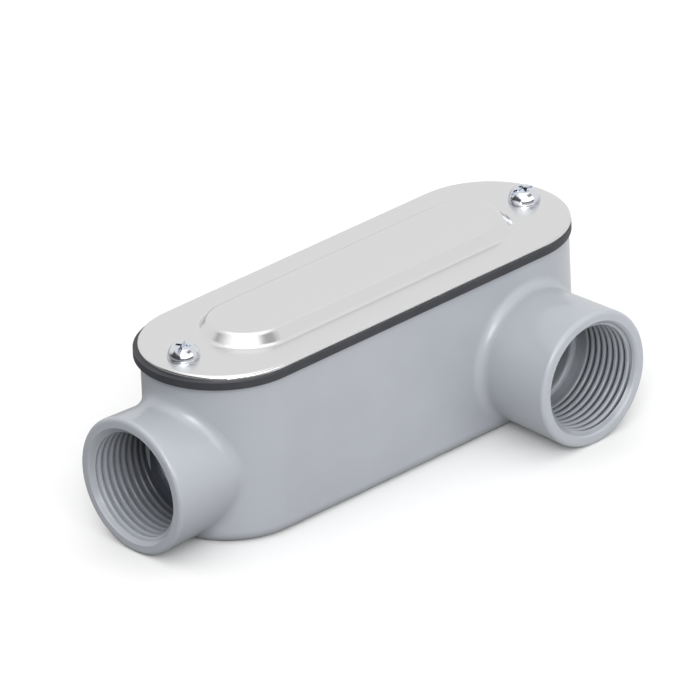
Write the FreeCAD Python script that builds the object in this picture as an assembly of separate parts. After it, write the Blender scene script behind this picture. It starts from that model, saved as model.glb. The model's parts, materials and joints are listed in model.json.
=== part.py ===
import FreeCAD, Part

import math
import os

from FreeCAD import Vector

# ----------------------------------------------------------------------------------------------
# Conduit body, type LL, for 1-inch threaded conduit.
# Frame: origin at the middle of the flat back face, +Z towards the cover, the end hub opens
# towards -X and the side hub opens towards -Y at the +X end. Millimetres.
# ----------------------------------------------------------------------------------------------

# Body casting
BODY_HALF_STRAIGHT = 50.0      # middle to the centre of each round end
BODY_RADIUS = 23.2             # outside radius of the round ends, half the width
BODY_HEIGHT = 48.15            # back face to gasket seat
WALL = 3.0                     # side wall
BACK_WALL = 3.3                # floor of the wiring chamber
BACK_EDGE_RADIUS = 3.6         # rounding between back face and sides
CHAMBER_FLOOR_RADIUS = 2.6     # rounding round the chamber's floor

# Hubs
HUB_MOUTH_RADIUS = 20.0        # outside, at the rim
HUB_ROOT_RADIUS = 19.5         # outside, where the hub meets the wall (casting draft)
HUB_RIM_ROUNDING = 1.3         # outer edge of the rim
END_ROOT_FILLET = 4.2          # between end hub and round end
SIDE_ROOT_FILLET = 3.0         # between side hub and side wall
END_HUB_PROJECTION = 13.8      # rim beyond the casting's round end
SIDE_HUB_PROJECTION = 25.1     # rim beyond the casting's side
SIDE_HUB_SETBACK = 6.8         # side hub's axis, back from the far end's arc centre
THREAD_ROOT_RADIUS = 16.6      # 1-inch taper thread, at its roots
THREAD_LENGTH = 19.5           # rim to the end of the last turn
ENTRY_CHAMFER = 0.5            # at the mouth of the thread
CORED_RADIUS = 14.9            # smooth bore past the thread
CORED_LENGTH = 2.4             # thread to the bushing's shoulder
BUSHING_RADIUS = 13.3          # integral bushing that guards the wires
BUSHING_ROUNDING = 1.2         # both edges of the bushing
END_BUSHING_LENGTH = 3.4       # end hub: shoulder to the inner face
BARREL_WALL = 2.2              # end hub's barrel inside the chamber, round the thread

# Cover screws: number 10, 24 threads per inch, pan head
SCREW_RADIUS = 2.4
SCREW_LENGTH = 11.0            # under the head
SCREW_TIP_CHAMFER = 0.7
SCREW_INSET = 8.0              # screw axis, in from the casting's round end
HEAD_RADIUS = 4.55
HEAD_HEIGHT = 2.9
HEAD_CROWN_RADIUS = 9.0        # shallow dome on top
HEAD_CORNER_RADIUS = 1.7       # between dome and side
HEAD_EDGE_ROUNDING = 0.25      # lower edge
SLOT_WIDTH = 1.2
SLOT_DEPTH = 1.2
CROSS_REACH = 2.45             # middle to the end of a cross arm, at the top
CROSS_WIDTH = 1.15
CROSS_DEPTH = 1.8
CROSS_TAPER = 0.62             # arm's size at its bottom, as a share of the top
SCREW_TURNS = {"near": 28.0, "far": -15.0}   # where each slot came to rest, degrees

# Screw bosses inside the rim
BOSS_RADIUS = 5.4
BOSS_TIP_RADIUS = 4.5          # casting draft
BOSS_LENGTH = 13.0             # below the gasket seat
BOSS_TIP_ROUNDING = 1.2
TAPPED_DEPTH = 10.2            # below the gasket seat, to the drill's shoulder
DRILL_POINT_ANGLE = 31.0       # degrees
TAPPING_CLEARANCE = 0.05       # screw to tapped wall

# Gasket
GASKET_THICKNESS = 2.15
GASKET_OVERHANG = 1.3          # beyond the casting
GASKET_LAP = 0.6               # inside the chamber's wall
GASKET_SHIFT = -0.8            # the soft gasket has settled towards the end hub
GASKET_HOLE_CLEARANCE = 1.0
GASKET_TAB_WALL = 3.0          # rubber round each screw hole

# Cover plate
COVER_OVERHANG = 0.65          # beyond the casting
COVER_THICKNESS = 1.45
COVER_EDGE_ROUNDING = 0.9
COVER_HOLE_CLEARANCE = 0.35
PANEL_HALF_STRAIGHT = 41.0     # raised panel: middle to each arc centre
PANEL_FOOT_RADIUS = 13.8       # where the flank would meet the plate if nothing were rounded
PANEL_HEIGHT = 3.35
PANEL_FLANK_ANGLE = 50.0       # degrees from the plate
PANEL_FOOT_ROUNDING = 1.8
PANEL_CREST_ROUNDING = 2.1

# Worked out from the above
BODY_END = BODY_HALF_STRAIGHT + BODY_RADIUS
CHAMBER_RADIUS = BODY_RADIUS - WALL
HUB_AXIS_HEIGHT = HUB_MOUTH_RADIUS           # the rims just touch the mounting plane
END_HUB_MOUTH = -(BODY_END + END_HUB_PROJECTION)
SIDE_HUB_MOUTH = -(BODY_RADIUS + SIDE_HUB_PROJECTION)
SIDE_HUB_X = BODY_HALF_STRAIGHT - SIDE_HUB_SETBACK
SHOULDER_DEPTH = THREAD_LENGTH + CORED_LENGTH
SCREW_X = BODY_END - SCREW_INSET
COVER_BOTTOM = BODY_HEIGHT + GASKET_THICKNESS
COVER_TOP = COVER_BOTTOM + COVER_THICKNESS
COVER_RADIUS = BODY_RADIUS + COVER_OVERHANG
GASKET_RADIUS = BODY_RADIUS + GASKET_OVERHANG
CUT_MARGIN = 1.0                             # how far cutting tools run past a face

UP = Vector(0, 0, 1)
ORIGIN = Vector(0, 0, 0)


# ----------------------------------------------------------------------------------------------
# Profiles and sweeps
# ----------------------------------------------------------------------------------------------

def line(start, end):
    """Straight edge between two (r, z) points of a profile in the XZ plane."""
    return Part.LineSegment(Vector(start[0], 0, start[1]), Vector(end[0], 0, end[1])).toShape()


def arc(centre, radius, from_deg, to_deg):
    """Arc edge in the XZ plane; angles from +X towards +Z."""
    def point(deg):
        turn = math.radians(deg)
        return Vector(centre[0] + radius * math.cos(turn), 0, centre[1] + radius * math.sin(turn))
    return Part.Arc(point(from_deg), point((from_deg + to_deg) / 2.0), point(to_deg)).toShape()


def polygon(points):
    """Face in the XZ plane through the given (r, z) points."""
    corners = [Vector(r, 0, z) for r, z in points]
    return Part.Face(Part.makePolygon(corners + corners[:1]))


def turned(face):
    """Full turn of a profile about the Z axis."""
    return face.revolve(ORIGIN, UP, 360)


def round_ended(face, half_straight):
    """Sweeps a profile, drawn outwards from the axis, round a track with two round ends."""
    start = face.copy()
    start.rotate(ORIGIN, UP, -90)
    far_end = start.revolve(ORIGIN, UP, 180)
    near_end = far_end.copy()
    near_end.rotate(ORIGIN, UP, 180)
    far_end.translate(Vector(half_straight, 0, 0))
    near_end.translate(Vector(-half_straight, 0, 0))
    side = start.copy()
    side.translate(Vector(-half_straight, 0, 0))
    right_side = side.extrude(Vector(2 * half_straight, 0, 0))
    left_side = right_side.copy()
    left_side.rotate(ORIGIN, UP, 180)
    return far_end.multiFuse([near_end, right_side, left_side]).removeSplitter()


def slab(half_straight, radius, bottom, top):
    """Flat plate with two round ends."""
    return round_ended(polygon([(0, bottom), (radius, bottom), (radius, top), (0, top)]), half_straight)


def on_end_axis(shape):
    """Puts a part turned about Z on the end hub's axis, its z = 0 at the mouth, +Z inwards."""
    placed = shape.copy()
    placed.rotate(ORIGIN, UP, 180)
    placed.rotate(ORIGIN, Vector(0, 1, 0), 90)
    placed.translate(Vector(END_HUB_MOUTH, 0, HUB_AXIS_HEIGHT))
    return placed


def on_side_axis(shape):
    """Puts a part turned about Z on the side hub's axis, its z = 0 at the mouth, +Z inwards."""
    placed = shape.copy()
    placed.rotate(ORIGIN, UP, -90)
    placed.rotate(ORIGIN, Vector(1, 0, 0), -90)
    placed.translate(Vector(SIDE_HUB_X, SIDE_HUB_MOUTH, HUB_AXIS_HEIGHT))
    return placed


# ----------------------------------------------------------------------------------------------
# Body casting
# ----------------------------------------------------------------------------------------------

def body_outside():
    """Long box with round ends and a rounded back edge."""
    flat = BODY_RADIUS - BACK_EDGE_RADIUS
    edges = [
        line((0, 0), (flat, 0)),
        arc((flat, BACK_EDGE_RADIUS), BACK_EDGE_RADIUS, -90, 0),
        line((BODY_RADIUS, BACK_EDGE_RADIUS), (BODY_RADIUS, BODY_HEIGHT)),
        line((BODY_RADIUS, BODY_HEIGHT), (0, BODY_HEIGHT)),
        line((0, BODY_HEIGHT), (0, 0)),
    ]
    return round_ended(Part.Face(Part.Wire(edges)), BODY_HALF_STRAIGHT)


def hub_outside(projection, reach):
    """Drafted hub with a rounded rim, from its mouth to a depth of reach inside the wall."""
    rim = HUB_RIM_ROUNDING
    inner = hub_radius(reach, projection)
    edges = [
        line((0, 0), (HUB_MOUTH_RADIUS - rim, 0)),
        arc((HUB_MOUTH_RADIUS - rim, rim), rim, -90, 0),
        line((HUB_MOUTH_RADIUS, rim), (inner, reach)),
        line((inner, reach), (0, reach)),
        line((0, reach), (0, 0)),
    ]
    return turned(Part.Face(Part.Wire(edges)))


def hub_radius(depth, projection):
    """Outside radius of the drafted hub at a depth from its mouth."""
    draft = (HUB_MOUTH_RADIUS - HUB_ROOT_RADIUS) / (projection - HUB_RIM_ROUNDING)
    return HUB_MOUTH_RADIUS - draft * (depth - HUB_RIM_ROUNDING)


def root_edges(shape, mouth, inwards, projection):
    """The edges where a hub, given by its mouth's centre and inward direction, meets the box."""
    found = []
    for edge in shape.Edges:
        on_root = True
        for point in edge.discretize(5):
            offset = point - mouth
            depth = offset.dot(inwards)
            radius = (offset - inwards * depth).Length
            beyond_wall = depth > projection - 0.01
            on_root = on_root and beyond_wall and abs(radius - hub_radius(depth, projection)) < 0.02
        if on_root:
            found.append(edge)
    return found


def hub_bore(bushing_end):
    """Cutting tool for a hub: entry chamfer, thread root, cored stretch and rounded bushing."""
    entry = THREAD_ROOT_RADIUS + ENTRY_CHAMFER
    throat = BUSHING_RADIUS
    nose = throat + BUSHING_ROUNDING
    edges = [
        line((0, -CUT_MARGIN), (entry, -CUT_MARGIN)),
        line((entry, -CUT_MARGIN), (entry, 0)),
        line((entry, 0), (THREAD_ROOT_RADIUS, ENTRY_CHAMFER)),
        line((THREAD_ROOT_RADIUS, ENTRY_CHAMFER), (THREAD_ROOT_RADIUS, THREAD_LENGTH)),
        line((THREAD_ROOT_RADIUS, THREAD_LENGTH), (CORED_RADIUS, THREAD_LENGTH)),
        line((CORED_RADIUS, THREAD_LENGTH), (CORED_RADIUS, SHOULDER_DEPTH)),
        line((CORED_RADIUS, SHOULDER_DEPTH), (nose, SHOULDER_DEPTH)),
        arc((nose, SHOULDER_DEPTH + BUSHING_ROUNDING), BUSHING_ROUNDING, -90, -180),
        line((throat, SHOULDER_DEPTH + BUSHING_ROUNDING), (throat, bushing_end - BUSHING_ROUNDING)),
        arc((nose, bushing_end - BUSHING_ROUNDING), BUSHING_ROUNDING, 180, 90),
        line((nose, bushing_end), (nose, bushing_end + CUT_MARGIN)),
        line((nose, bushing_end + CUT_MARGIN), (0, bushing_end + CUT_MARGIN)),
        line((0, bushing_end + CUT_MARGIN), (0, -CUT_MARGIN)),
    ]
    return turned(Part.Face(Part.Wire(edges)))


def chamber():
    """Wiring chamber as a cutting tool, open through the gasket seat."""
    flat = CHAMBER_RADIUS - CHAMBER_FLOOR_RADIUS
    top = BODY_HEIGHT + CUT_MARGIN
    edges = [
        line((0, BACK_WALL), (flat, BACK_WALL)),
        arc((flat, BACK_WALL + CHAMBER_FLOOR_RADIUS), CHAMBER_FLOOR_RADIUS, -90, 0),
        line((CHAMBER_RADIUS, BACK_WALL + CHAMBER_FLOOR_RADIUS), (CHAMBER_RADIUS, top)),
        line((CHAMBER_RADIUS, top), (0, top)),
        line((0, top), (0, BACK_WALL)),
    ]
    return round_ended(Part.Face(Part.Wire(edges)), BODY_HALF_STRAIGHT)


def end_barrel():
    """The end hub's barrel where it runs on inside the chamber, round the end of the thread."""
    radius = THREAD_ROOT_RADIUS + BARREL_WALL
    depth = SHOULDER_DEPTH + END_BUSHING_LENGTH
    edge = BUSHING_ROUNDING
    edges = [
        line((0, 0), (radius, 0)),
        line((radius, 0), (radius, depth - edge)),
        arc((radius - edge, depth - edge), edge, 0, 90),
        line((radius - edge, depth), (0, depth)),
        line((0, depth), (0, 0)),
    ]
    return on_end_axis(turned(Part.Face(Part.Wire(edges))))


def boss(side):
    """Drafted screw boss below the gasket seat, running into the end wall."""
    tip = BODY_HEIGHT - BOSS_LENGTH
    tip_flat = BOSS_TIP_RADIUS - BOSS_TIP_ROUNDING
    edges = [
        line((0, tip), (tip_flat, tip)),
        arc((tip_flat, tip + BOSS_TIP_ROUNDING), BOSS_TIP_ROUNDING, -90, 0),
        line((BOSS_TIP_RADIUS, tip + BOSS_TIP_ROUNDING), (BOSS_RADIUS, BODY_HEIGHT + CUT_MARGIN)),
        line((BOSS_RADIUS, BODY_HEIGHT + CUT_MARGIN), (0, BODY_HEIGHT + CUT_MARGIN)),
        line((0, BODY_HEIGHT + CUT_MARGIN), (0, tip)),
    ]
    column = turned(Part.Face(Part.Wire(edges)))
    column.translate(Vector(side * SCREW_X, 0, 0))
    return column


def tapped_hole(side):
    """Blind hole with a drill point, for one cover screw."""
    radius = SCREW_RADIUS + TAPPING_CLEARANCE
    bottom = BODY_HEIGHT - TAPPED_DEPTH
    top = BODY_HEIGHT + CUT_MARGIN
    point = bottom - radius * math.tan(math.radians(DRILL_POINT_ANGLE))
    hole = turned(polygon([(0, point), (radius, bottom), (radius, top), (0, top)]))
    hole.translate(Vector(side * SCREW_X, 0, 0))
    return hole


def casting_outside():
    """Box and both hubs, with a fillet round the root of each hub."""
    solid = body_outside()
    end_hub = hub_outside(END_HUB_PROJECTION, END_HUB_PROJECTION + BODY_RADIUS)
    side_hub = hub_outside(SIDE_HUB_PROJECTION, SIDE_HUB_PROJECTION + BODY_RADIUS)
    solid = solid.fuse(on_end_axis(end_hub)).fuse(on_side_axis(side_hub)).removeSplitter()
    end_mouth = Vector(END_HUB_MOUTH, 0, HUB_AXIS_HEIGHT)
    end_root = root_edges(solid, end_mouth, Vector(1, 0, 0), END_HUB_PROJECTION)
    solid = solid.makeFillet(END_ROOT_FILLET, end_root)
    side_mouth = Vector(SIDE_HUB_X, SIDE_HUB_MOUTH, HUB_AXIS_HEIGHT)
    side_root = root_edges(solid, side_mouth, Vector(0, 1, 0), SIDE_HUB_PROJECTION)
    return solid.makeFillet(SIDE_ROOT_FILLET, side_root)


def body_casting():
    """One die-cast piece: chamber, two threaded hubs with bushings, and two screw bosses."""
    hollow = chamber().cut(end_barrel())
    for side in (-1, 1):
        hollow = hollow.cut(boss(side))
    solid = casting_outside().cut(hollow)
    solid = solid.cut(on_end_axis(hub_bore(SHOULDER_DEPTH + END_BUSHING_LENGTH)))
    solid = solid.cut(on_side_axis(hub_bore(SIDE_HUB_PROJECTION + WALL)))
    for side in (-1, 1):
        solid = solid.cut(tapped_hole(side))
    return solid.Solids[0]


# ----------------------------------------------------------------------------------------------
# Gasket and cover
# ----------------------------------------------------------------------------------------------

def screw_columns(radius):
    """Two upright cylinders on the screw axes, past both faces of the gasket and the cover."""
    bottom = BODY_HEIGHT - CUT_MARGIN
    height = COVER_TOP + CUT_MARGIN - bottom
    return [Part.makeCylinder(radius, height, Vector(side * SCREW_X, 0, bottom), UP) for side in (-1, 1)]


def cover_gasket():
    """Flat rubber frame with a tab round each screw, a little off centre."""
    hole_radius = SCREW_RADIUS + GASKET_HOLE_CLEARANCE
    opening_radius = CHAMBER_RADIUS - GASKET_LAP
    sheet = slab(BODY_HALF_STRAIGHT, GASKET_RADIUS, BODY_HEIGHT, COVER_BOTTOM)
    opening = slab(BODY_HALF_STRAIGHT, opening_radius, BODY_HEIGHT - CUT_MARGIN, COVER_BOTTOM + CUT_MARGIN)
    for tab in screw_columns(hole_radius + GASKET_TAB_WALL):
        opening = opening.cut(tab)
    sheet = sheet.cut(opening)
    for hole in screw_columns(hole_radius):
        sheet = sheet.cut(hole)
    sheet.translate(Vector(GASKET_SHIFT, 0, 0))
    return sheet.Solids[0]


def panel_face(inset, floor):
    """Half profile of the raised panel's skin, inset below its outside, closed down to floor."""
    angle = math.radians(PANEL_FLANK_ANGLE)
    tangent = math.tan(angle / 2)
    crest_corner = PANEL_FOOT_RADIUS - PANEL_HEIGHT / math.tan(angle)
    crest_height = COVER_TOP + PANEL_HEIGHT
    crest_centre = (crest_corner - PANEL_CREST_ROUNDING * tangent, crest_height - PANEL_CREST_ROUNDING)
    foot_centre = (PANEL_FOOT_RADIUS + PANEL_FOOT_ROUNDING * tangent, COVER_TOP + PANEL_FOOT_ROUNDING)
    crest_radius = PANEL_CREST_ROUNDING - inset
    foot_radius = PANEL_FOOT_ROUNDING + inset
    top = crest_centre[1] + crest_radius
    foot = foot_centre[1] - foot_radius
    crest_arc = arc(crest_centre, crest_radius, 90, 90 - PANEL_FLANK_ANGLE)
    foot_arc = arc(foot_centre, foot_radius, 270 - PANEL_FLANK_ANGLE, 270)
    flank_top = crest_arc.Vertexes[1].Point
    flank_foot = foot_arc.Vertexes[0].Point
    edges = [
        line((0, top), (crest_centre[0], top)),
        crest_arc,
        Part.LineSegment(flank_top, flank_foot).toShape(),
        foot_arc,
        line((foot_centre[0], foot), (foot_centre[0], floor)),
        line((foot_centre[0], floor), (0, floor)),
        line((0, floor), (0, top)),
    ]
    return Part.Face(Part.Wire(edges))


def plate_face():
    """Half profile of the flat plate with its rounded upper edge."""
    edge = COVER_EDGE_ROUNDING
    edges = [
        line((0, COVER_BOTTOM), (COVER_RADIUS, COVER_BOTTOM)),
        line((COVER_RADIUS, COVER_BOTTOM), (COVER_RADIUS, COVER_TOP - edge)),
        arc((COVER_RADIUS - edge, COVER_TOP - edge), edge, 0, 90),
        line((COVER_RADIUS - edge, COVER_TOP), (0, COVER_TOP)),
        line((0, COVER_TOP), (0, COVER_BOTTOM)),
    ]
    return Part.Face(Part.Wire(edges))


def cover_plate():
    """Stamped from one sheet: flat plate, raised hollow panel with rounded bends, two holes."""
    solid = round_ended(plate_face(), BODY_HALF_STRAIGHT)
    solid = solid.fuse(round_ended(panel_face(0.0, COVER_BOTTOM), PANEL_HALF_STRAIGHT))
    pocket = round_ended(panel_face(COVER_THICKNESS, COVER_BOTTOM - CUT_MARGIN), PANEL_HALF_STRAIGHT)
    solid = solid.cut(pocket)
    for hole in screw_columns(SCREW_RADIUS + COVER_HOLE_CLEARANCE):
        solid = solid.cut(hole)
    return solid.removeSplitter().Solids[0]


# ----------------------------------------------------------------------------------------------
# Cover screws
# ----------------------------------------------------------------------------------------------

def screw_blank():
    """Pan head and shank, seat of the head at z = 0."""
    edge = HEAD_EDGE_ROUNDING
    corner = HEAD_CORNER_RADIUS
    crown_centre = HEAD_HEIGHT - HEAD_CROWN_RADIUS
    corner_r = HEAD_RADIUS - corner
    corner_z = crown_centre + math.sqrt((HEAD_CROWN_RADIUS - corner) ** 2 - corner_r ** 2)
    meeting_angle = math.degrees(math.atan2(corner_z - crown_centre, corner_r))
    tip = -SCREW_LENGTH
    edges = [
        line((0, tip), (SCREW_RADIUS - SCREW_TIP_CHAMFER, tip)),
        line((SCREW_RADIUS - SCREW_TIP_CHAMFER, tip), (SCREW_RADIUS, tip + SCREW_TIP_CHAMFER)),
        line((SCREW_RADIUS, tip + SCREW_TIP_CHAMFER), (SCREW_RADIUS, 0)),
        line((SCREW_RADIUS, 0), (HEAD_RADIUS - edge, 0)),
        arc((HEAD_RADIUS - edge, edge), edge, -90, 0),
        line((HEAD_RADIUS, edge), (HEAD_RADIUS, corner_z)),
        arc((corner_r, corner_z), corner, 0, meeting_angle),
        arc((0, crown_centre), HEAD_CROWN_RADIUS, meeting_angle, 90),
        line((0, HEAD_HEIGHT), (0, tip)),
    ]
    return turned(Part.Face(Part.Wire(edges)))


def cross_arm():
    """One arm pair of the cross recess, narrowing downwards from the top of the head."""
    wires = []
    for scale, level in ((1.0, HEAD_HEIGHT), (CROSS_TAPER, HEAD_HEIGHT - CROSS_DEPTH)):
        reach = CROSS_REACH * scale
        half = CROSS_WIDTH * scale / 2
        corners = [(-reach, -half), (reach, -half), (reach, half), (-reach, half), (-reach, -half)]
        wires.append(Part.makePolygon([Vector(x, y, level) for x, y in corners]))
    return Part.makeLoft(wires, True, True)


def cover_screw(name, side):
    """Pan-head screw with a combined slot and cross recess, seated on the cover."""
    slot_bottom = HEAD_HEIGHT - SLOT_DEPTH
    slot = Part.makeBox(
        2 * (HEAD_RADIUS + CUT_MARGIN), SLOT_WIDTH, SLOT_DEPTH + CUT_MARGIN,
        Vector(-HEAD_RADIUS - CUT_MARGIN, -SLOT_WIDTH / 2, slot_bottom))
    first_arm = cross_arm()
    second_arm = first_arm.copy()
    second_arm.rotate(ORIGIN, UP, 90)
    screw = screw_blank().cut(slot).cut(first_arm).cut(second_arm)
    screw.rotate(ORIGIN, UP, SCREW_TURNS[name])
    screw.translate(Vector(side * SCREW_X, 0, COVER_TOP))
    return screw.Solids[0]


# ----------------------------------------------------------------------------------------------

def main():
    os.makedirs("parts", exist_ok=True)
    pieces = {
        "body_casting": body_casting(),
        "cover_gasket": cover_gasket(),
        "cover_plate": cover_plate(),
        "cover_screw_near": cover_screw("near", -1),
        "cover_screw_far": cover_screw("far", 1),
    }
    for name, shape in pieces.items():
        if not shape.isValid():
            raise ValueError(name + " is not a valid solid")
        shape.exportStep("parts/" + name + ".step")
        print(name, "volume", round(shape.Volume), "mm3")


if __name__ == "__main__":
    main()
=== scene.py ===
import json
import logging
import math
from dataclasses import dataclass
from enum import Enum

import bmesh
import bpy
from mathutils import Matrix, Vector


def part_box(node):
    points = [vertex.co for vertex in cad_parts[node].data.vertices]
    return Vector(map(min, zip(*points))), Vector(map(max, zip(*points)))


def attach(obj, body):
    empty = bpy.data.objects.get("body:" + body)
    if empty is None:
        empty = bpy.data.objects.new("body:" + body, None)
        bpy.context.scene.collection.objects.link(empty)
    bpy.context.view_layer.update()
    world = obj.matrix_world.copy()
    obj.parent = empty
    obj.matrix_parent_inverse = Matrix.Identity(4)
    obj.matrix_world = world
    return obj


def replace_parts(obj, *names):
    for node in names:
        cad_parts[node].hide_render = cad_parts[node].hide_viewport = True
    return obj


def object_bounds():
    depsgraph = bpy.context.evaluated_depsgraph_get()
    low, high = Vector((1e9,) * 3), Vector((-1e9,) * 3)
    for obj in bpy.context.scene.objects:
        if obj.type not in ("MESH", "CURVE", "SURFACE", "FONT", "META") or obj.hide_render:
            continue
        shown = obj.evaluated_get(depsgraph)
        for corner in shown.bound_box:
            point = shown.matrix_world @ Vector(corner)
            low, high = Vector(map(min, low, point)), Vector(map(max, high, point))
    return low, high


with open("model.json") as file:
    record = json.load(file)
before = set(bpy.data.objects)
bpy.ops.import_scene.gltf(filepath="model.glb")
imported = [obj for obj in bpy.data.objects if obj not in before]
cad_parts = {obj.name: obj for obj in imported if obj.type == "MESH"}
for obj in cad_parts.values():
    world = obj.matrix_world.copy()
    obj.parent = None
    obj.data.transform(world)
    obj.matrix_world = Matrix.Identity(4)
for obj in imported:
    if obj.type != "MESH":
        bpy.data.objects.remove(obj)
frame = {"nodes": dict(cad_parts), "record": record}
CAD_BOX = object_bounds()

MM = 0.001
WELD = 0.001 * MM
BODY = "root"
CASTING = "body_casting"
# Name of the attribute that holds how much light the threads keep under their painted shade.
PAINTED_LIT_SHARE = "painted_lit_share"
PLAIN_STRETCH = (1.0, 1.0, 1.0)
COAT_GREY = (0.330, 0.348, 0.378)
log = logging.getLogger("conduit_body")


# ---------------------------------------------------------------------------------------------
# Shader tools
# ---------------------------------------------------------------------------------------------

class NodeBench:
    """Adds and joins the nodes of one shader tree."""

    def __init__(self, tree: bpy.types.NodeTree) -> None:
        """Starts on a tree, with whatever it already holds."""
        self.tree = tree

    def add(self, kind: str, inputs: dict | None = None, **settings: object) -> bpy.types.Node:
        """Adds a node and fills it in.

        Args:
            kind: the node's type name.
            inputs: input name or number to a value, or to the output socket that feeds it.
            settings: properties of the node itself.

        Returns:
            The new node.
        """
        node = self.tree.nodes.new(kind)
        for name, value in settings.items():
            setattr(node, name, value)
        for key, value in (inputs or {}).items():
            if isinstance(value, bpy.types.NodeSocket):
                self.tree.links.new(value, node.inputs[key])
            else:
                node.inputs[key].default_value = value
        return node

    def math(self, operation: str, first: object, second: object = 0.0) -> bpy.types.NodeSocket:
        """Adds a Math node and returns its result."""
        return self.add("ShaderNodeMath", {0: first, 1: second}, operation=operation).outputs[0]

    def remap(self, value: object, low: float, high: float, to_low: float, to_high: float,
              smooth: bool = False) -> bpy.types.NodeSocket:
        """Maps a value from one range to another, clamped.

        Args:
            value: the socket to read.
            low: value that gives to_low.
            high: value that gives to_high.
            to_low: result at low.
            to_high: result at high.
            smooth: eases both ends of the range.

        Returns:
            The mapped value.
        """
        kind = "SMOOTHSTEP" if smooth else "LINEAR"
        node = self.add("ShaderNodeMapRange", {0: value, 1: low, 2: high, 3: to_low, 4: to_high},
                        interpolation_type=kind)
        return node.outputs[0]

    def blend(self, factor: object, first: object, second: object,
              kind: str = "RGBA") -> bpy.types.NodeSocket:
        """Mixes two colours, or two numbers with kind FLOAT.

        Args:
            factor: 0 gives the first, 1 the second.
            first: socket or value.
            second: socket or value.
            kind: the data type of both.

        Returns:
            The mixed value.
        """
        node = self.add("ShaderNodeMix", {"Factor": factor, "A": first, "B": second}, data_type=kind)
        return node.outputs["Result"]

    def dot(self, place: object, direction: Vector) -> bpy.types.NodeSocket:
        """How far a vector points along a direction."""
        node = self.add("ShaderNodeVectorMath", {0: place, 1: direction}, operation="DOT_PRODUCT")
        return node.outputs["Value"]

    def noise(self, place: object, scale: object, detail: float,
              roughness: float = 0.5) -> bpy.types.NodeSocket:
        """Adds a Noise Texture node and returns its height, 0 to 1."""
        return self.add("ShaderNodeTexNoise", {"Vector": place, "Scale": scale, "Detail": detail,
                                               "Roughness": roughness}).outputs["Fac"]


def shaded(colour: tuple[float, float, float], factor: float = 1.0) -> tuple[float, float, float, float]:
    """A colour made lighter or darker by a factor, as a shader colour."""
    return (colour[0] * factor, colour[1] * factor, colour[2] * factor, 1.0)


def float_inputs(tree: bpy.types.NodeTree, names: tuple[str, ...]) -> None:
    """Gives a node group its number inputs, in order."""
    for name in names:
        tree.interface.new_socket(name, in_out="INPUT", socket_type="NodeSocketFloat")


def float_outputs(tree: bpy.types.NodeTree, names: tuple[str, ...]) -> None:
    """Gives a node group its number outputs, in order."""
    for name in names:
        tree.interface.new_socket(name, in_out="OUTPUT", socket_type="NodeSocketFloat")


@dataclass(frozen=True)
class Grain:
    """The grain that every finish here has: two sizes of noise as a height and a shade."""

    fine_detail: float = 3.0
    fine_roughness: float = 0.55
    fine_share: float = 0.6
    broad_detail: float = 2.0
    broad_scale: float = 0.13

    def group(self) -> bpy.types.NodeTree:
        """Builds the grain.

        Returns:
            A node group with inputs Scale, Stretch and outputs Height, Shade.
        """
        tree = bpy.data.node_groups.new("surface_grain", "ShaderNodeTree")
        float_inputs(tree, ("Scale",))
        tree.interface.new_socket("Stretch", in_out="INPUT", socket_type="NodeSocketVector")
        float_outputs(tree, ("Height", "Shade"))
        bench = NodeBench(tree)
        given = bench.add("NodeGroupInput").outputs
        place = bench.add("ShaderNodeTexCoord").outputs["Object"]
        stretched = bench.add("ShaderNodeVectorMath", {0: place, 1: given["Stretch"]},
                              operation="MULTIPLY").outputs[0]
        fine = bench.noise(stretched, given["Scale"], self.fine_detail, self.fine_roughness)
        broad_scale = bench.math("MULTIPLY", given["Scale"], self.broad_scale)
        broad = bench.noise(stretched, broad_scale, self.broad_detail)
        height = bench.math("ADD", bench.math("MULTIPLY", fine, self.fine_share),
                            bench.math("MULTIPLY", broad, 1.0 - self.fine_share))
        bench.add("NodeGroupOutput", {"Height": height, "Shade": broad})
        return tree


@dataclass(frozen=True)
class HandlingMarks:
    """The faint clouding that handling leaves: large soft patches and sparse tiny specks."""

    patch_scale: float = 38.0
    patch_detail: float = 4.0
    speck_scale: float = 420.0
    speck_core: float = 0.04
    speck_edge: float = 0.09
    choice_scale: float = 160.0
    choice_low: float = 0.62
    choice_high: float = 0.66

    def group(self) -> bpy.types.NodeTree:
        """Builds the marks.

        Returns:
            A node group with input Amount and outputs Cloud (about 0) and Specks (0 to 1).
        """
        tree = bpy.data.node_groups.new("handling_marks", "ShaderNodeTree")
        float_inputs(tree, ("Amount",))
        float_outputs(tree, ("Cloud", "Specks"))
        bench = NodeBench(tree)
        amount = bench.add("NodeGroupInput").outputs["Amount"]
        place = bench.add("ShaderNodeTexCoord").outputs["Object"]
        patches = bench.noise(place, self.patch_scale, self.patch_detail)
        cloud = bench.math("MULTIPLY", bench.math("SUBTRACT", patches, 0.5), amount)
        cells = bench.add("ShaderNodeTexVoronoi", {"Vector": place, "Scale": self.speck_scale})
        near_cell = bench.remap(cells.outputs["Distance"], self.speck_core, self.speck_edge, 1.0, 0.0)
        chosen = bench.noise(place, self.choice_scale, 0.0)
        picked = bench.remap(chosen, self.choice_low, self.choice_high, 0.0, 1.0)
        specks = bench.math("MULTIPLY", bench.math("MULTIPLY", near_cell, picked), amount)
        bench.add("NodeGroupOutput", {"Cloud": cloud, "Specks": specks})
        return tree


# ---------------------------------------------------------------------------------------------
# Finishes
# ---------------------------------------------------------------------------------------------

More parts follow.
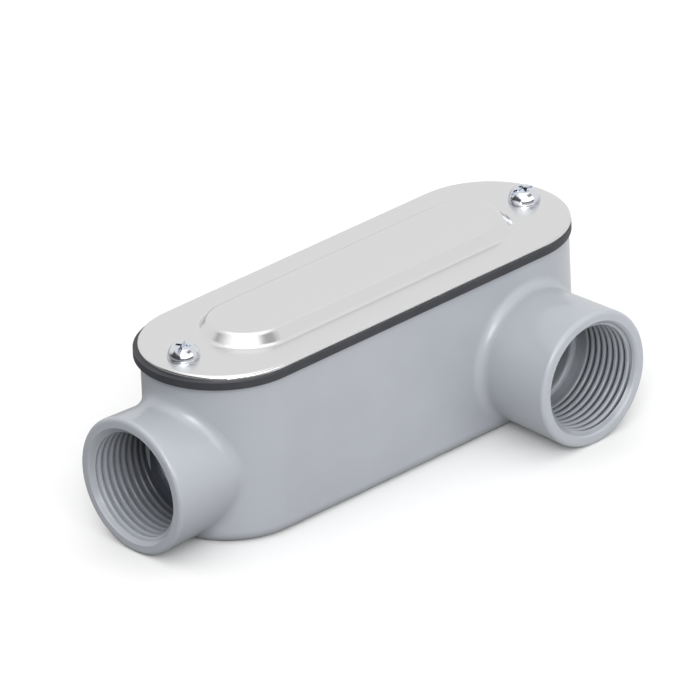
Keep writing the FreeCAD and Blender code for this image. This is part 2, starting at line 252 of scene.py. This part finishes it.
@dataclass(frozen=True)
class Finish:
    """What all finishes share: a slot of the record, a colour and a grain."""

    name: str
    slot: str
    colour: tuple[float, float, float]
    roughness: float
    metallic: float
    grain_scale: float
    grain_stretch: tuple[float, float, float]
    grain_depth: float
    shade_swing: float
    cloud: float
    speck_colour: tuple[float, float, float] | None = None
    noise_low: float = 0.3
    noise_high: float = 0.7

    def material(self, grain: bpy.types.NodeTree, marks: bpy.types.NodeTree) -> bpy.types.Material:
        """Builds the finish as a Blender material.

        Args:
            grain: the group that Grain builds.
            marks: the group that HandlingMarks builds.

        Returns:
            The material.
        """
        made = bpy.data.materials.new(self.name)
        made.use_nodes = True
        made.node_tree.nodes.clear()
        bench = NodeBench(made.node_tree)
        grained = bench.add("ShaderNodeGroup", {"Scale": self.grain_scale, "Stretch": self.grain_stretch},
                            node_tree=grain).outputs
        marked = bench.add("ShaderNodeGroup", {"Amount": self.cloud}, node_tree=marks).outputs
        shade = bench.remap(grained["Shade"], self.noise_low, self.noise_high, 0.0, 1.0)
        colour = bench.blend(shade, shaded(self.colour, 1.0 - self.shade_swing),
                             shaded(self.colour, 1.0 + self.shade_swing))
        if self.speck_colour:
            colour = bench.blend(marked["Specks"], colour, shaded(self.speck_colour))
        colour = self.tint(bench, colour)
        roughness = bench.math("ADD", marked["Cloud"], self.roughness)
        bump = bench.add("ShaderNodeBump", {"Height": grained["Height"], "Strength": 1.0,
                                            "Distance": self.grain_depth}).outputs["Normal"]
        shader = bench.add("ShaderNodeBsdfPrincipled", {
            "Base Color": colour, "Metallic": self.metallic, "Roughness": roughness, "Normal": bump})
        self.tune(shader)
        bench.add("ShaderNodeOutputMaterial", {"Surface": shader.outputs["BSDF"]})
        return made

    def tint(self, bench: NodeBench, colour: bpy.types.NodeSocket) -> bpy.types.NodeSocket:
        """Changes the colour from place to place; a plain finish leaves it as it is."""
        return colour

    def tune(self, shader: bpy.types.Node) -> None:
        """Sets the shader's other sockets; a plain finish has none to set."""


@dataclass(frozen=True)
class PowderCoat(Finish):
    """Smooth grey powder coat: a coloured base under a clear gloss."""

    coat: float = 0.5
    coat_roughness: float = 0.08

    def tune(self, shader: bpy.types.Node) -> None:
        """Adds the clear gloss of the coat."""
        shader.inputs["Coat Weight"].default_value = self.coat
        shader.inputs["Coat Roughness"].default_value = self.coat_roughness


@dataclass(frozen=True)
class ShadedThreadCoat(PowderCoat):
    """Powder coat on the thread, with painted shade in its grooves and deeper in the hub."""

    # The colour of the painted shade in the grooves and deep in the hub.
    shade_colour: tuple[float, float, float] = (0.024, 0.027, 0.038)

    def tint(self, bench: NodeBench, colour: bpy.types.NodeSocket) -> bpy.types.NodeSocket:
        """Paints shade where the piece's lit-share attribute is low."""
        lit_share = bench.add("ShaderNodeAttribute", attribute_name=PAINTED_LIT_SHARE).outputs["Fac"]
        return bench.blend(lit_share, shaded(self.shade_colour), colour)


@dataclass(frozen=True)
class CastingCoat(PowderCoat):
    """Powder coat on the casting; inside the chamber a painted shade darkens it towards the end hub."""

    # Painted shade inside the chamber: its colour, where it starts and where it is full.
    shade_colour: tuple[float, float, float] = (0.070, 0.078, 0.098)
    wall: float = 1.3 * MM
    shade_starts_at: float = -8.0 * MM
    full_shade_from: float = -38.0 * MM

    def inside(self, bench: NodeBench, parts: dict[str, bpy.types.NodeSocket]) -> bpy.types.NodeSocket:
        """Tells the chamber's inside from the box's outside.

        Args:
            bench: where the nodes go.
            parts: the place on the casting, as X, Y and Z.

        Returns:
            1 further in than the wall, and 0 elsewhere.
        """
        low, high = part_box(CASTING)
        radius = high.y  # the side without a hub stands one end radius from the middle
        past = bench.math("SUBTRACT", bench.math("ABSOLUTE", parts["X"]), high.x - radius)
        past = bench.math("MAXIMUM", past, 0.0)
        along_squared = bench.math("MULTIPLY", past, past)
        across_squared = bench.math("MULTIPLY", parts["Y"], parts["Y"])
        out = bench.math("SQRT", bench.math("ADD", along_squared, across_squared))
        within_sides = bench.math("LESS_THAN", out, radius - self.wall)
        above_floor = bench.math("GREATER_THAN", parts["Z"], low.z + self.wall)
        return bench.math("MULTIPLY", within_sides, above_floor)

    def tint(self, bench: NodeBench, colour: bpy.types.NodeSocket) -> bpy.types.NodeSocket:
        """Paints shade on the inside of the chamber, darker towards the end hub.

        Args:
            bench: where the nodes go.
            colour: the coat's own colour.

        Returns:
            The colour as it shows.
        """
        place = bench.add("ShaderNodeTexCoord").outputs["Object"]
        parts = bench.add("ShaderNodeSeparateXYZ", {0: place}).outputs
        shade_ramp = bench.remap(parts["X"], self.shade_starts_at, self.full_shade_from, 0.0, 1.0, smooth=True)
        shade_share = bench.math("MULTIPLY", self.inside(bench, parts), shade_ramp)
        return bench.blend(shade_share, colour, shaded(self.shade_colour))


POWDER_COAT = CastingCoat(
    name="grey_powder_coat", slot="casting", colour=COAT_GREY, roughness=0.45, metallic=0.0,
    grain_scale=650.0, grain_stretch=PLAIN_STRETCH, grain_depth=0.012 * MM, shade_swing=0.018, cloud=0.05)
SHADED_THREAD_COAT = ShadedThreadCoat(
    name="thread_coat_painted_shade", slot="casting", colour=COAT_GREY, roughness=0.36, metallic=0.0,
    grain_scale=900.0, grain_stretch=PLAIN_STRETCH, grain_depth=0.03 * MM, shade_swing=0.06, cloud=0.05)
SHEET_RUBBER = Finish(
    name="gasket_rubber", slot="gasket", colour=(0.026, 0.027, 0.032), roughness=0.6, metallic=0.0,
    grain_scale=1400.0, grain_stretch=PLAIN_STRETCH, grain_depth=0.05 * MM, shade_swing=0.12, cloud=0.2,
    speck_colour=(0.22, 0.22, 0.24))
ROLLED_SHEET = Finish(
    name="bright_rolled_sheet", slot="cover", colour=(0.67, 0.67, 0.675), roughness=0.22, metallic=1.0,
    grain_scale=260.0, grain_stretch=(0.15, 1.0, 1.0), grain_depth=0.0012 * MM, shade_swing=0.006,
    cloud=0.03)
ZINC_PLATE = Finish(
    name="bright_zinc_plate", slot="screws", colour=(0.64, 0.66, 0.70), roughness=0.14, metallic=1.0,
    grain_scale=900.0, grain_stretch=PLAIN_STRETCH, grain_depth=0.004 * MM, shade_swing=0.03, cloud=0.06)


class FinishShop:
    """Makes each finish once and puts it on pieces."""

    def __init__(self) -> None:
        """Builds the shared node groups and the materials."""
        grain, marks = Grain().group(), HandlingMarks().group()
        finishes = (POWDER_COAT, SHADED_THREAD_COAT, SHEET_RUBBER, ROLLED_SHEET, ZINC_PLATE)
        self.materials = {finish.name: finish.material(grain, marks) for finish in finishes}

    def dress(self, piece: bpy.types.Object, finish: Finish) -> None:
        """Gives a piece its finish in all its material slots, or in a new slot if it has none.

        Args:
            piece: a mesh object, CAD node or new.
            finish: the finish that it gets all over.
        """
        made = self.materials[finish.name]
        if piece.data.materials:
            for number in range(len(piece.data.materials)):
                piece.data.materials[number] = made
        else:
            piece.data.materials.append(made)


# ---------------------------------------------------------------------------------------------
# Pieces
# ---------------------------------------------------------------------------------------------

def new_piece(name: str, mesh: bmesh.types.BMesh) -> bpy.types.Object:
    """Turns a finished bmesh into a smooth-shaded piece that rides with the part.

    Args:
        name: the piece's name.
        mesh: its shape; it is freed.

    Returns:
        The new object.
    """
    data = bpy.data.meshes.new(name)
    mesh.to_mesh(data)
    mesh.free()
    data.shade_smooth()
    piece = bpy.data.objects.new(name, data)
    bpy.context.scene.collection.objects.link(piece)
    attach(piece, BODY)
    log.info("%s: %d faces", name, len(data.polygons))
    return piece


class Hub(Enum):
    """The two threaded hubs, by the names of their mounts."""

    END = "end_hub"
    SIDE = "side_hub"


@dataclass
class HubThread:
    """Taper thread inside one hub, with its run-in cone, cut as one tube of metal."""

    hub: Hub
    pitch: float = 2.209 * MM
    crest_at_mouth: float = 15.3 * MM
    crest_at_end: float = 14.9 * MM
    run_in_depth: float = 0.5 * MM
    run_out: float = 1.9 * MM
    run_out_rest: float = 0.25
    thread_depth: float = 1.3 * MM
    crest_crown: float = 0.14 * MM
    groove_half_width: float = 0.27
    root_half_width: float = 0.03
    backing: float = 0.08 * MM
    around: int = 160
    rows: int = 200
    start_turn: float = 0.30
    # Painted shade: light kept in a groove, where the groove shade starts, its share in the run-in cone,
    # light kept at the far end, and how far in that takes.
    groove_lit: float = 0.12
    groove_shade_from: float = 0.45
    run_in_shade: float = 0.3
    deep_lit: float = 0.8
    shade_reach: float = 22.0 * MM

    def __post_init__(self) -> None:
        """Reads the hub's axis, radius and length from the record."""
        mount = next(m for m in frame["record"]["mounts"] if m["name"] == self.hub.value)
        self.outwards = Vector(mount["axis"])
        self.root_radius = mount["dims"]["r_mm"] * MM
        self.length = mount["dims"]["length_mm"] * MM
        self.end = self.run_in_depth + self.length
        centre = Vector(mount["pos_m"])
        low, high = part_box(CASTING)
        face = max(low.dot(self.outwards), high.dot(self.outwards))
        self.mouth = centre + self.outwards * (face - centre.dot(self.outwards))

    def groove_depth(self, turn: float) -> float:
        """How far the wall lies outside the crest at a place in one pitch.

        Args:
            turn: place along the axis in pitches, with the groove's middle at whole numbers.

        Returns:
            The extra radius: least on the crest's middle, most at the groove's bottom.
        """
        away = abs((turn + 0.5) % 1.0 - 0.5)
        if away > self.groove_half_width:
            beside = (0.5 - away) / (0.5 - self.groove_half_width)
            return self.crest_crown * beside ** 2
        share = max(away, self.root_half_width) / self.groove_half_width
        return self.crest_crown + (self.thread_depth - self.crest_crown) * (1.0 - share)

    def crest_radius(self, depth: float) -> float:
        """Radius of the crests, which taper from the mouth to the thread's end."""
        return self.crest_at_mouth + (self.crest_at_end - self.crest_at_mouth) * depth / self.end

    def wall_radius(self, angle: float, depth: float) -> float:
        """Radius of the cut wall.

        Args:
            angle: place around the axis, in radians.
            depth: distance in from the mouth.

        Returns:
            The radius there.
        """
        crest = self.crest_radius(depth)
        fade = min(1.0, max(0.0, (self.end - depth) / self.run_out - self.run_out_rest))
        turn = depth / self.pitch - angle / math.tau + self.start_turn
        cut = crest + self.groove_depth(turn) * fade
        cone = self.root_radius + self.run_in_depth - depth
        return max(cut, cone)

    def painted_lit_share(self, radius: float, depth: float) -> float:
        """Share of light kept under the painted shade at a place on the wall.

        Args:
            radius: the wall's radius there.
            depth: distance in from the mouth.

        Returns:
            1 on a crest at the mouth, least in a groove at the far end.
        """
        crest = self.crest_radius(depth)
        shade_depth = self.groove_shade_from * self.thread_depth
        cut = min(1.0, max(0.0, (radius - crest - self.crest_crown) / shade_depth))
        if depth < self.root_radius + self.run_in_depth - crest:
            cut *= self.run_in_shade
        deep_share = min(1.0, max(0.0, depth - self.pitch) / self.shade_reach)
        return (1.0 + (self.groove_lit - 1.0) * cut) * (1.0 + (self.deep_lit - 1.0) * deep_share)

    def build(self) -> bpy.types.Object:
        """Rolls a grid into the thread's wall and closes it round the back.

        Returns:
            The thread as a closed piece.
        """
        mesh = bmesh.new()
        # A layer for how much light each place keeps under the painted shade.
        coat = mesh.verts.layers.float.new(PAINTED_LIT_SHARE)
        bmesh.ops.create_grid(mesh, x_segments=self.around, y_segments=self.rows + 2, size=0.5)
        for vertex in mesh.verts:
            angle = (vertex.co.x + 0.5) * math.tau
            row = round((vertex.co.y + 0.5) * (self.rows + 2))
            if row <= self.rows:
                depth = self.run_in_depth + self.length * row / self.rows
                radius = self.wall_radius(angle, depth)
            else:
                depth = self.end if row == self.rows + 1 else self.run_in_depth
                radius = self.root_radius + self.backing
            vertex.co = Vector((radius * math.cos(angle), radius * math.sin(angle), depth))
            vertex[coat] = self.painted_lit_share(radius, depth)
        rim = {vertex for edge in mesh.edges if edge.is_boundary for vertex in edge.verts}
        bmesh.ops.remove_doubles(mesh, verts=list(rim), dist=WELD)
        bmesh.ops.bridge_loops(mesh, edges=[edge for edge in mesh.edges if edge.is_boundary])
        turn = Vector((0, 0, 1)).rotation_difference(-self.outwards).to_matrix().to_4x4()
        bmesh.ops.transform(mesh, matrix=Matrix.Translation(self.mouth) @ turn, verts=mesh.verts)
        bmesh.ops.recalc_face_normals(mesh, faces=mesh.faces)
        return new_piece(self.hub.value + "_thread", mesh)


class BodyCasting:
    """The painted die casting: the CAD solid, with the threads that its hubs are tapped with."""

    def build(self, shop: FinishShop) -> None:
        """Dresses the casting and adds both threads.

        Args:
            shop: where the finishes come from.
        """
        shop.dress(frame["nodes"][CASTING], POWDER_COAT)
        # The end hub's thread gets weak painted shade in its grooves and strong painted shade towards its
        # inner end.
        end_thread = HubThread(Hub.END, groove_lit=0.9, deep_lit=0.1, shade_reach=16.0 * MM)
        for thread in (end_thread, HubThread(Hub.SIDE)):
            shop.dress(thread.build(), SHADED_THREAD_COAT)


class Gasket:
    """The die-cut rubber gasket."""

    def build(self, shop: FinishShop) -> None:
        """Dresses the gasket."""
        shop.dress(frame["nodes"]["cover_gasket"], SHEET_RUBBER)


class CoverPlate:
    """The stamped cover."""

    def build(self, shop: FinishShop) -> None:
        """Dresses the cover."""
        shop.dress(frame["nodes"]["cover_plate"], ROLLED_SHEET)


def box_cutter(size: tuple[float, float, float], turn: float) -> bmesh.types.BMesh:
    """A box round the origin, turned about Z.

    Args:
        size: its length, width and height.
        turn: angle in degrees.

    Returns:
        The box, to be cut away from a piece.
    """
    mesh = bmesh.new()
    bmesh.ops.create_cube(mesh, size=1.0, matrix=Matrix.Rotation(math.radians(turn), 4, "Z")
                          @ Matrix.Diagonal((*size, 1.0)))
    return mesh


def cut_away(piece: bpy.types.Object, cutters: list[bmesh.types.BMesh]) -> None:
    """Cuts closed shapes out of a piece's mesh.

    Args:
        piece: the piece; its mesh is replaced by the cut one.
        cutters: the shapes, which are freed.
    """
    for number, cutter in enumerate(cutters):
        data = bpy.data.meshes.new(f"cutter_{number}")
        cutter.to_mesh(data)
        cutter.free()
        tool = bpy.data.objects.new(data.name, data)
        bpy.context.scene.collection.objects.link(tool)
        step = piece.modifiers.new("cut", "BOOLEAN")
        step.operation, step.solver, step.object = "DIFFERENCE", "EXACT", tool
        cut = bpy.data.meshes.new_from_object(piece.evaluated_get(bpy.context.evaluated_depsgraph_get()))
        piece.modifiers.clear()
        whole, piece.data = piece.data, cut
        bpy.data.objects.remove(tool)
        for spent in (data, whole):
            bpy.data.meshes.remove(spent)
        cut.name = piece.name


@dataclass
class PanScrew:
    """Pan-head screw with a slot and a cross: a ball's flank under a flat top.

    It seats where the head of its CAD node does, which is solid_head below that node's top.
    """

    node: str
    turn: float
    solid_head: float = 2.9 * MM
    head_height: float = 3.35 * MM
    ball_radius: float = 4.6 * MM
    ball_drop: float = 0.2 * MM
    crown_rounding: float = 0.5 * MM
    rim_rounding: float = 0.3 * MM
    shank_radius: float = 2.35 * MM
    slot_width: float = 1.15 * MM
    slot_depth: float = 1.1 * MM
    cross_reach: float = 2.1 * MM
    cross_width: float = 1.1 * MM
    cross_depth: float = 1.8 * MM
    around: int = 96
    corner_steps: int = 8
    flank_steps: int = 28
    sharp_angle: float = 32.0

    def outline(self, length: float) -> list[Vector]:
        """Half the screw's section, from the middle of the top to the middle of the tip.

        Args:
            length: of the shank.

        Returns:
            Points in the XZ plane, the seat at height 0.
        """
        crown, rim = self.crown_rounding, self.rim_rounding
        crown_high, rim_high = self.head_height - crown + self.ball_drop, rim + self.ball_drop
        crown_out = math.sqrt((self.ball_radius - crown) ** 2 - crown_high ** 2)
        rim_out = math.sqrt((self.ball_radius - rim) ** 2 - rim_high ** 2)
        upper, lower = math.atan2(crown_high, crown_out), math.atan2(rim_high, rim_out)
        quarter = math.pi / 2
        arcs = ((crown_out, self.head_height - crown, crown, quarter, upper, self.corner_steps),
                (0.0, -self.ball_drop, self.ball_radius, upper, lower, self.flank_steps),
                (rim_out, rim, rim, lower, -quarter, self.corner_steps))
        points = [Vector((0.0, 0.0, self.head_height))]
        for across, height, radius, start, end, steps in arcs:
            for step in range(steps + 1):
                angle = start + (end - start) * step / steps
                out = across + radius * math.cos(angle)
                points.append(Vector((out, 0.0, height + radius * math.sin(angle))))
        points += [Vector((self.shank_radius, 0.0, 0.0)), Vector((self.shank_radius, 0.0, -length))]
        return points + [Vector((0.0, 0.0, -length))]

    def turned(self, length: float) -> bmesh.types.BMesh:
        """Turns the section about the screw's axis.

        Args:
            length: of the shank.

        Returns:
            Head and shank as one closed mesh, without the slot and the cross.
        """
        mesh = bmesh.new()
        chain = [mesh.verts.new(point) for point in self.outline(length)]
        edges = [mesh.edges.new(pair) for pair in zip(chain, chain[1:])]
        bmesh.ops.spin(mesh, geom=chain + edges, cent=(0.0, 0.0, 0.0), axis=(0.0, 0.0, 1.0),
                       angle=math.tau, steps=self.around, use_merge=True)
        bmesh.ops.remove_doubles(mesh, verts=mesh.verts, dist=WELD)
        bmesh.ops.recalc_face_normals(mesh, faces=mesh.faces)
        return mesh

    def build(self) -> bpy.types.Object:
        """Makes the screw in its place and lets it stand for the solid.

        Returns:
            The screw.
        """
        low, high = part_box(self.node)
        seat = Vector(((low.x + high.x) / 2, (low.y + high.y) / 2, high.z - self.solid_head))
        piece = new_piece(self.node.replace("cover_", "pan_"), self.turned(seat.z - low.z))
        # The cutters are centred on the head's top, and the slot's is longer than the head is wide.
        slot = (3.0 * self.ball_radius, self.slot_width, 2.0 * self.slot_depth)
        arm = (2.0 * self.cross_reach, self.cross_width, 2.0 * self.cross_depth)
        cutters = [box_cutter(slot, self.turn)]
        cutters += [box_cutter(arm, self.turn + quarter) for quarter in (0.0, 90.0)]
        for cutter in cutters:
            bmesh.ops.translate(cutter, vec=Vector((0.0, 0.0, self.head_height)), verts=cutter.verts)
        cut_away(piece, cutters)
        piece.data.transform(Matrix.Translation(seat))
        piece.data.shade_smooth()
        piece.data.set_sharp_from_angle(angle=math.radians(self.sharp_angle))
        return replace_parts(piece, self.node)


class CoverScrews:
    """The two pan-head screws, each turned as it came to rest."""

    turns = {"cover_screw_near": 28.0, "cover_screw_far": -15.0}

    def build(self, shop: FinishShop) -> None:
        """Makes and dresses the screws.

        Args:
            shop: where the finishes come from.
        """
        for node, turn in self.turns.items():
            shop.dress(PanScrew(node, turn).build(), ZINC_PLATE)


# ---------------------------------------------------------------------------------------------
# Studio
# ---------------------------------------------------------------------------------------------

@dataclass
class Viewpoint:
    """Where the camera stands, as angles round the part and an aim near its middle."""

    azimuth: float = -42.897
    elevation: float = 26.528
    roll: float = -2.417
    distance: float = 2.98745
    lens: float = 558.27
    sensor: float = 36.0
    aside: float = -6.108 * MM
    above: float = 7.201 * MM

    def axes(self) -> tuple[Vector, Vector, Vector]:
        """Works out how the camera stands.

        Returns:
            Its right, up and back directions.
        """
        turn, rise, roll = (math.radians(a) for a in (self.azimuth, self.elevation, self.roll))
        back = Vector((math.sin(turn) * math.cos(rise), -math.cos(turn) * math.cos(rise), math.sin(rise)))
        level = (-back).cross(Vector((0, 0, 1))).normalized()
        upright = level.cross(-back)
        right = level * math.cos(roll) + upright * math.sin(roll)
        up = upright * math.cos(roll) - level * math.sin(roll)
        return right, up, back

    def build(self) -> None:
        """Makes the camera and sets it as the scene's."""
        right, up, back = self.axes()
        data = bpy.data.cameras.new("camera")
        data.lens = self.lens
        data.sensor_width = self.sensor
        camera = bpy.data.objects.new("camera", data)
        bpy.context.scene.collection.objects.link(camera)
        middle = (CAD_BOX[0] + CAD_BOX[1]) / 2
        place = Matrix((right, up, back)).transposed().to_4x4()
        place.translation = middle + right * self.aside + up * self.above + back * self.distance
        camera.matrix_world = place
        bpy.context.scene.camera = camera


@dataclass(frozen=True)
class LightWindow:
    """A soft-edged patch of the room, in degrees: azimuth from the camera, rightwards, and height.

    Its light is first cut to the share that is kept, and then the light that is added comes on top.
    """

    name: str
    middle: float
    half_width: float
    low: float
    high: float
    kept: float = 1.0
    added: float = 0.0
    softness: float = 4.0


WINDOWS = (
    LightWindow("ceiling", 0.0, 200.0, 60.0, 120.0, added=0.85, softness=7.0),
    LightWindow("dark_left", -57.0, 37.0, 9.0, 36.0, kept=0.1, softness=5.0),
    LightWindow("dark_gap", 59.0, 22.0, 34.0, 54.0, kept=0.35),
    LightWindow("upper_softbox", -24.0, 50.0, 44.0, 62.0, added=0.7),
    LightWindow("low_softbox", 29.0, 46.0, 14.0, 33.0, added=2.9),
    LightWindow("high_softbox", 0.0, 40.0, 33.0, 46.0, added=2.2),
    LightWindow("lamp", -5.0, 13.0, 24.0, 46.0, added=9.0, softness=3.0),
    LightWindow("dark_doorway", -20.0, 92.0, 1.0, 12.0, kept=0.03),
)


def window_group() -> bpy.types.NodeTree:
    """Builds the test for whether a direction lies inside a soft-edged window.

    Returns:
        A node group with inputs Azimuth, Height, Middle, Half Width, Low, High, Softness and
        output Inside, all angles in degrees.
    """
    tree = bpy.data.node_groups.new("light_window", "ShaderNodeTree")
    float_inputs(tree, ("Azimuth", "Height", "Middle", "Half Width", "Low", "High", "Softness"))
    float_outputs(tree, ("Inside",))
    bench = NodeBench(tree)
    given = bench.add("NodeGroupInput").outputs

    def within(distance: bpy.types.NodeSocket) -> bpy.types.NodeSocket:
        """1 where a distance past the edge is below zero, eased over the softness."""
        share = bench.math("DIVIDE", distance, given["Softness"])
        return bench.remap(share, -1.0, 1.0, 1.0, 0.0, smooth=True)

    offset = bench.math("SUBTRACT", given["Azimuth"], given["Middle"])
    wrapped = bench.add("ShaderNodeMath", {0: offset, 1: 180.0, 2: -180.0}, operation="WRAP").outputs[0]
    beside = bench.math("SUBTRACT", bench.math("ABSOLUTE", wrapped), given["Half Width"])
    below = bench.math("SUBTRACT", given["Low"], given["Height"])
    above = bench.math("SUBTRACT", given["Height"], given["High"])
    level = bench.math("MULTIPLY", within(below), within(above))
    inside = bench.math("MULTIPLY", within(beside), level)
    bench.add("NodeGroupOutput", {"Inside": inside})
    return tree


@dataclass
class Studio:
    """Pale floor in a white room: bright ceiling, softboxes, a lamp, and darker places low down."""

    viewpoint: Viewpoint
    floor_size: float = 14.0
    floor_seen: float = 0.76
    bounce_left: float = 0.24
    bounce_right: float = 0.62
    bounce_reach: float = 90.0 * MM
    wall_light: float = 1.25

    def build_floor(self) -> None:
        """Lays the floor under the part; it looks paler to the camera than the light it gives back."""
        mesh = bmesh.new()
        bmesh.ops.create_grid(mesh, x_segments=1, y_segments=1, size=self.floor_size / 2)
        bmesh.ops.translate(mesh, vec=Vector((0, 0, CAD_BOX[0].z)), verts=mesh.verts)
        data = bpy.data.meshes.new("floor")
        mesh.to_mesh(data)
        mesh.free()
        floor = bpy.data.objects.new("floor", data)
        bpy.context.scene.collection.objects.link(floor)
        made = bpy.data.materials.new("pale_floor")
        made.use_nodes = True
        made.node_tree.nodes.clear()
        bench = NodeBench(made.node_tree)
        seen = bench.add("ShaderNodeLightPath").outputs["Is Camera Ray"]
        place = bench.add("ShaderNodeTexCoord").outputs["Object"]
        right, _, _ = self.viewpoint.axes()
        bounce = bench.remap(bench.dot(place, right), -self.bounce_reach, self.bounce_reach,
                             self.bounce_left, self.bounce_right)
        tone = bench.blend(seen, bounce, self.floor_seen, kind="FLOAT")
        shader = bench.add("ShaderNodeBsdfDiffuse", {"Color": tone})
        bench.add("ShaderNodeOutputMaterial", {"Surface": shader.outputs["BSDF"]})
        data.materials.append(made)

    def build_world(self) -> None:
        """Lights the room by direction, with every window measured from the camera's azimuth."""
        world = bpy.data.worlds.new("studio_room")
        bpy.context.scene.world = world
        world.use_nodes = True
        world.node_tree.nodes.clear()
        bench = NodeBench(world.node_tree)
        turn = math.radians(self.viewpoint.azimuth)
        way = bench.add("ShaderNodeTexCoord").outputs["Generated"]
        right = bench.dot(way, Vector((math.cos(turn), math.sin(turn), 0.0)))
        towards = bench.dot(way, Vector((math.sin(turn), -math.cos(turn), 0.0)))
        azimuth = bench.math("DEGREES", bench.math("ARCTAN2", right, towards))
        height = bench.math("DEGREES", bench.math("ARCSINE", bench.dot(way, Vector((0.0, 0.0, 1.0)))))
        group = window_group()
        level: object = self.wall_light
        for window in WINDOWS:
            inside = bench.add("ShaderNodeGroup", {
                "Azimuth": azimuth, "Height": height, "Middle": window.middle,
                "Half Width": window.half_width, "Low": window.low, "High": window.high,
                "Softness": window.softness}, node_tree=group, label=window.name).outputs["Inside"]
            if window.kept != 1.0:
                level = bench.math("MULTIPLY", level, bench.remap(inside, 0.0, 1.0, 1.0, window.kept))
            if window.added:
                level = bench.math("ADD", level, bench.math("MULTIPLY", inside, window.added))
        back = bench.add("ShaderNodeBackground", {"Strength": level})
        bench.add("ShaderNodeOutputWorld", {"Surface": back.outputs[0]})

    def build(self) -> None:
        """Sets up the whole studio."""
        self.build_floor()
        self.build_world()
        self.viewpoint.build()
        bpy.context.scene.view_settings.view_transform = "Standard"


def main() -> None:
    """Builds the part's looks and the studio round it."""
    logging.basicConfig(level=logging.INFO, format="%(name)s %(message)s")
    shop = FinishShop()
    for assembly in (BodyCasting(), Gasket(), CoverPlate(), CoverScrews()):
        assembly.build(shop)
        log.info("%s done", type(assembly).__name__)
    Studio(Viewpoint()).build()


if __name__ == "__main__":
    main()
